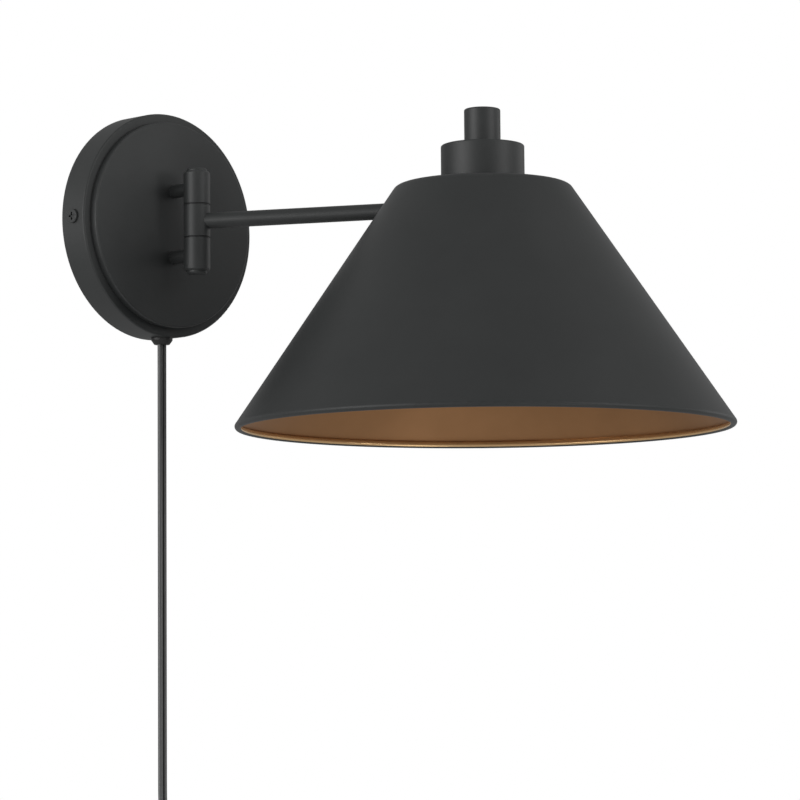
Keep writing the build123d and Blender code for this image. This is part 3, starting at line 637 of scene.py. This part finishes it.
# Finishes: two close tones, gloss and grain. Grain and mottle are noise scales per metre.
finishes = {
    "black_metal": {"dark": (0.024, 0.026, 0.026), "light": (0.030, 0.032, 0.032),
                    "rough": 0.50, "roughSwing": 0.03, "grain": 1500, "mottle": 45,
                    "bump": 0.2, "bumpDepth": 0.00005,
                    "edge": (0.045, 0.047, 0.047), "edgeReach": 0.0003, "edgeGain": 2.0},
    "zinc_steel": {"dark": (0.42, 0.43, 0.44), "light": (0.60, 0.61, 0.62), "metallic": 1.0,
                   "rough": 0.34, "roughSwing": 0.08, "grain": 900, "mottle": 180,
                   "bump": 0.15, "bumpDepth": 0.00003, "stretch": (1, 1, 0.25)},
    "nylon": {"dark": (0.008, 0.008, 0.008), "light": (0.012, 0.012, 0.012), "rough": 0.5,
              "roughSwing": 0.04, "grain": 2200, "mottle": 90, "bump": 0.1,
              "bumpDepth": 0.00003},
    "phenolic": {"dark": (0.014, 0.013, 0.012), "light": (0.022, 0.020, 0.019), "rough": 0.38,
                 "roughSwing": 0.05, "grain": 1200, "mottle": 150, "bump": 0.12,
                 "bumpDepth": 0.00004},
    "porcelain": {"dark": (0.72, 0.70, 0.65), "light": (0.80, 0.79, 0.75), "rough": 0.45,
                  "roughSwing": 0.08, "grain": 900, "mottle": 120, "bump": 0.15,
                  "bumpDepth": 0.00004},
    "fibre": {"dark": (0.33, 0.23, 0.13), "light": (0.46, 0.34, 0.21), "rough": 0.8,
              "roughSwing": 0.06, "grain": 1400, "mottle": 300, "bump": 0.4,
              "bumpDepth": 0.00008, "stretch": (1, 1, 0.2), "specular": 0.25},
    "brass": {"dark": (0.66, 0.47, 0.20), "light": (0.80, 0.61, 0.30), "metallic": 1.0,
              "rough": 0.27, "roughSwing": 0.07, "grain": 700, "mottle": 160, "bump": 0.08,
              "bumpDepth": 0.00003},
    # The cord's groove colour is painted shade between its two lobes.
    "cord_pvc": {"dark": (0.078, 0.080, 0.079), "light": (0.090, 0.092, 0.091), "rough": 0.36,
                 "roughSwing": 0.04, "grain": 1100, "mottle": 60, "bump": 0.15,
                 "bumpDepth": 0.00004, "groove": (0.003, 0.003, 0.003)},
    "plug_pvc": {"dark": (0.018, 0.018, 0.019), "light": (0.026, 0.026, 0.027), "rough": 0.46,
                 "roughSwing": 0.05, "grain": 1300, "mottle": 80, "bump": 0.3,
                 "bumpDepth": 0.00005},
    "tie_plastic": {"dark": (0.014, 0.014, 0.014), "light": (0.020, 0.020, 0.020), "rough": 0.3,
                    "roughSwing": 0.04, "grain": 1800, "mottle": 90, "bump": 0.08,
                    "bumpDepth": 0.00003},
    "wire_pvc": {"dark": (0.02, 0.02, 0.02), "light": (0.03, 0.03, 0.03), "rough": 0.4,
                 "roughSwing": 0.05, "grain": 1500, "mottle": 90, "bump": 0.1,
                 "bumpDepth": 0.00003},
    "connector_plastic": {"dark": (0.68, 0.64, 0.53), "light": (0.76, 0.73, 0.63), "rough": 0.4,
                          "roughSwing": 0.05, "grain": 1200, "mottle": 120, "bump": 0.1,
                          "bumpDepth": 0.00003},
}

materials = {name: makeFinish(name, f) for name, f in finishes.items()}

# Shade: a black coat outside and on the rolled rim, a bronze coat inside, with a painted highlight
# on the lip
shadeFinish = {
    "outDark": (0.032, 0.034, 0.034),
    "outLight": (0.038, 0.040, 0.040),
    "outRough": 0.46,
    "inDark": (0.32, 0.163, 0.069),
    "inLight": (0.397, 0.205, 0.089),
    "inRough": 0.38,
    "inMetallic": 0.55,
    "lipHighlightTone": (0.85, 0.56, 0.28),
    "lipRough": 0.22,
    "lipMargin": 0.03 * mm,
    "specular": 0.3,
    "flare": 34.05,             # degrees, how far the outer wall faces up
    "bead": 1.8 * mm,           # radius of the rolled rim
    "wall": 0.8 * mm,
    "blackUpTo": -33.0,         # degrees, where the black ends on the rim's inner side
    "blackMargin": 0.02 * mm,
    "rimHeight": 8.0 * mm,      # below this the rim's own line parts black from bronze
    "leastOnRim": 0.5,          # how far outwards a surface faces to count as outside
    "leastAbove": -0.3,         # less above the rim, so that cut edges are black
    "roundBelow": 4.0 * mm,     # below this height the wall and rim are lit as truly round
    "grain": 1500,
    "mottle": 16,
    "bump": 0.15,
    "bumpDepth": 0.00005,
}


def rimProfile(f, low, high):
    # Middle of the rim's bead, and the line that parts black from bronze, as (reach, height).
    flare, edge = math.radians(f["flare"]), math.radians(f["blackUpTo"])
    bead, nearSide = f["bead"], f["bead"] - f["wall"]
    beadMiddle = Vector(((high.x - low.x) / 2 - bead, low.z + bead))
    crease = beadMiddle + nearSide * Vector((math.cos(flare), math.sin(flare)))
    crease += math.sqrt(bead ** 2 - nearSide ** 2) * Vector((-math.sin(flare), math.cos(flare)))
    lineEnd = beadMiddle + bead * Vector((-math.cos(edge), math.sin(edge)))
    return beadMiddle, crease, (lineEnd - crease).normalized()


def makeShadeFinish(f):
    # Black and bronze are told apart by which way the wall faces. On the rolled rim the black
    # ends low on the inner side, along a line drawn through the bead.
    material, tree, shader = startMaterial("shade_metal")
    low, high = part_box("shade")
    beadMiddle, crease, line = rimProfile(f, low, high)
    flare = math.radians(f["flare"])
    coords = addNode(tree, "ShaderNodeTexCoord").outputs
    away = vectorNode(tree, "SUBTRACT", i0=coords["Object"], i1=tuple(centreOf("shade")))
    flat = vectorNode(tree, "MULTIPLY", i0=away, i1=(1, 1, 0))
    radial = vectorNode(tree, "NORMALIZE", i0=flat)
    reach = vectorNode(tree, "LENGTH", i0=flat)
    height = feed(tree, addNode(tree, "ShaderNodeSeparateXYZ"),
                  Vector=coords["Object"]).outputs["Z"]

    outward = vectorNode(tree, "ADD", i1=(0, 0, math.sin(flare)),
                         i0=vectorNode(tree, "SCALE", i0=radial, Scale=math.cos(flare)))
    facing = vectorNode(tree, "DOT_PRODUCT", i0=coords["Normal"], i1=outward)
    aboveRim = mathNode(tree, "GREATER_THAN", height, low.z + f["rimHeight"])
    least = mixNumber(tree, aboveRim, f["leastOnRim"], f["leastAbove"])
    wallOutside = mathNode(tree, "GREATER_THAN", facing, least)
    acrossLine = mathNode(tree, "MULTIPLY", mathNode(tree, "SUBTRACT", reach, crease.x), -line.y)
    upLine = mathNode(tree, "MULTIPLY", mathNode(tree, "SUBTRACT", height, crease.y), line.x)
    beadOutside = mathNode(tree, "GREATER_THAN", mathNode(tree, "ADD", acrossLine, upLine),
                           f["blackMargin"])
    outside = mathNode(tree, "MAXIMUM", wallOutside, beadOutside)

    fromMiddle = feed(tree, addNode(tree, "ShaderNodeCombineXYZ"),
                      X=mathNode(tree, "SUBTRACT", reach, beadMiddle.x),
                      Y=mathNode(tree, "SUBTRACT", height, beadMiddle.y)).outputs[0]
    lip = mathNode(tree, "LESS_THAN", vectorNode(tree, "LENGTH", i0=fromMiddle),
                   f["bead"] + f["lipMargin"])
    grain = placeGrain(tree, f)
    tone = mapNoise(tree, grain.outputs["Mottle"], 0.0, 1.0)
    coat = mixColour(tree, tone, (*f["outDark"], 1), (*f["outLight"], 1))
    bronze = mixColour(tree, tone, (*f["inDark"], 1), (*f["inLight"], 1))
    # The lip gets a lighter bronze, which is a painted highlight, and a glossier roughness.
    bronze = mixColour(tree, lip, bronze, (*f["lipHighlightTone"], 1))
    inRough = mixNumber(tree, lip, f["inRough"], f["lipRough"])
    inside = mathNode(tree, "SUBTRACT", 1.0, outside)
    feed(tree, shader, **{"Base Color": mixColour(tree, outside, bronze, coat),
                          "Roughness": mixNumber(tree, outside, inRough, f["outRough"]),
                          "Metallic": mathNode(tree, "MULTIPLY", inside, f["inMetallic"]),
                          "Specular IOR Level": f["specular"]})

    # The outer wall and the rim are lit as a true cone and round, free of the mesh's facets
    upWall = (-math.sin(flare), math.cos(flare), 0)
    along = mathNode(tree, "MAXIMUM", vectorNode(tree, "DOT_PRODUCT", i0=fromMiddle, i1=upWall),
                     0.0)
    section = vectorNode(tree, "SUBTRACT", i0=fromMiddle,
                         i1=vectorNode(tree, "SCALE", i0=upWall, Scale=along))
    parts = feed(tree, addNode(tree, "ShaderNodeSeparateXYZ"), Vector=section).outputs
    upright = feed(tree, addNode(tree, "ShaderNodeCombineXYZ"), Z=parts["Y"]).outputs[0]
    sideways = vectorNode(tree, "SCALE", i0=radial, Scale=parts["X"])
    trueWay = vectorNode(tree, "NORMALIZE", i0=vectorNode(tree, "ADD", i0=sideways, i1=upright))
    belowRound = mathNode(tree, "LESS_THAN", height, f["roundBelow"])
    smoothed = addNode(tree, "ShaderNodeMix", data_type="VECTOR")
    feed(tree, smoothed, i0=mathNode(tree, "MULTIPLY", outside, belowRound),
         i4=coords["Normal"], i5=trueWay)
    turned = addNode(tree, "ShaderNodeVectorTransform", vector_type="NORMAL",
                     convert_from="OBJECT", convert_to="WORLD")
    feed(tree, turned, Vector=smoothed.outputs[1])
    placeBump(tree, shader, grain, f, Normal=turned.outputs[0])
    return material


materials["shade_metal"] = makeShadeFinish(shadeFinish)


def dressAll():
    slots = {s["node"]: s["material_slot"] for s in frame["record"]["subparts"]}
    dressed = [(thing, slots[node]) for node, thing in frame["nodes"].items()]
    dressed += [(thing, thing["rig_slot"]) for thing in scene.objects if "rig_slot" in thing]
    for thing, slotName in dressed:
        thing.data.materials.clear()
        thing.data.materials.append(materials[slotName])


dressAll()
print("materials set")


# Room: a pale floor far below, a white surround and seven soft lamps
roomSet = {
    "aim": (0.08, -0.1, -0.06),
    "floorHeight": -2.6,
    "floorSize": 40.0,
    "floorTone": 0.9,
    "floorRough": 0.9,
    "floorGloss": 0.1,
    "floorWhite": 0.9,          # how far the floor goes to plain white for the eye
    "surround": 0.385,
    "lamps": (  # name, azimuth from straight out, elevation, distance, width, power
        ("frontLamp", 14.0, 2.0, 2.6, 0.75, 10.6),
        ("upperLamp", 0.0, 24.0, 2.4, 1.0, 3.8),
        ("highLamp", 26.0, 38.0, 2.6, 1.3, 4.0),
        ("leftLamp", -85.0, 0.0, 2.4, 1.2, 5.0),
        ("sideLamp", -106.0, 6.0, 2.4, 1.5, 21.3),
        ("rightLamp", 75.0, 8.0, 2.4, 1.2, 2.8),
        ("lowLamp", -8.0, -38.0, 2.4, 1.2, 5.2),
    ),
}


def makeFloor(r):
    half = r["floorSize"] / 2
    mesh = bpy.data.meshes.new("paleFloor")
    mesh.from_pydata([(x * half, y * half, r["floorHeight"])
                      for x, y in ((-1, -1), (1, -1), (1, 1), (-1, 1))], [], [(0, 1, 2, 3)])
    floor = bpy.data.objects.new("paleFloor", mesh)
    scene.collection.objects.link(floor)
    material, tree, shader = startMaterial("paleFloor")
    feed(tree, shader, **{"Base Color": (*[r["floorTone"]] * 3, 1), "Roughness": r["floorRough"],
                          "Specular IOR Level": r["floorGloss"]})
    glow = addNode(tree, "ShaderNodeEmission")
    seen = addNode(tree, "ShaderNodeLightPath").outputs["Is Camera Ray"]
    blend = addNode(tree, "ShaderNodeMixShader")
    feed(tree, blend, i0=mathNode(tree, "MULTIPLY", seen, r["floorWhite"]),
         i1=shader.outputs[0], i2=glow.outputs[0])
    tree.links.new(blend.outputs[0], tree.nodes["Material Output"].inputs["Surface"])
    floor.data.materials.append(material)


def makeSurround(r):
    world = bpy.data.worlds.new("whiteRoom")
    world.use_nodes = True
    scene.world = world
    tree = world.node_tree
    seen = addNode(tree, "ShaderNodeLightPath").outputs["Is Camera Ray"]
    feed(tree, tree.nodes["Background"], Color=(1, 1, 1, 1),
         Strength=mixNumber(tree, seen, r["surround"], 1.0))


def makeLamps(r):
    aim = Vector(r["aim"])
    for name, azimuth, elevation, distance, width, power in r["lamps"]:
        azimuth, elevation = math.radians(azimuth), math.radians(elevation)
        away = Vector((math.sin(azimuth) * math.cos(elevation),
                       -math.cos(azimuth) * math.cos(elevation), math.sin(elevation)))
        data = bpy.data.lights.new(name, "AREA")
        data.shape, data.size, data.energy = "DISK", width, power
        lamp = bpy.data.objects.new(name, data)
        scene.collection.objects.link(lamp)
        lamp.location = aim + away * distance
        lamp.rotation_euler = (-away).to_track_quat("-Z", "Y").to_euler()


makeFloor(roomSet)
makeSurround(roomSet)
makeLamps(roomSet)
scene.view_settings.view_transform = "Standard"
print("room and lamps set")

bpy.context.view_layer.update()
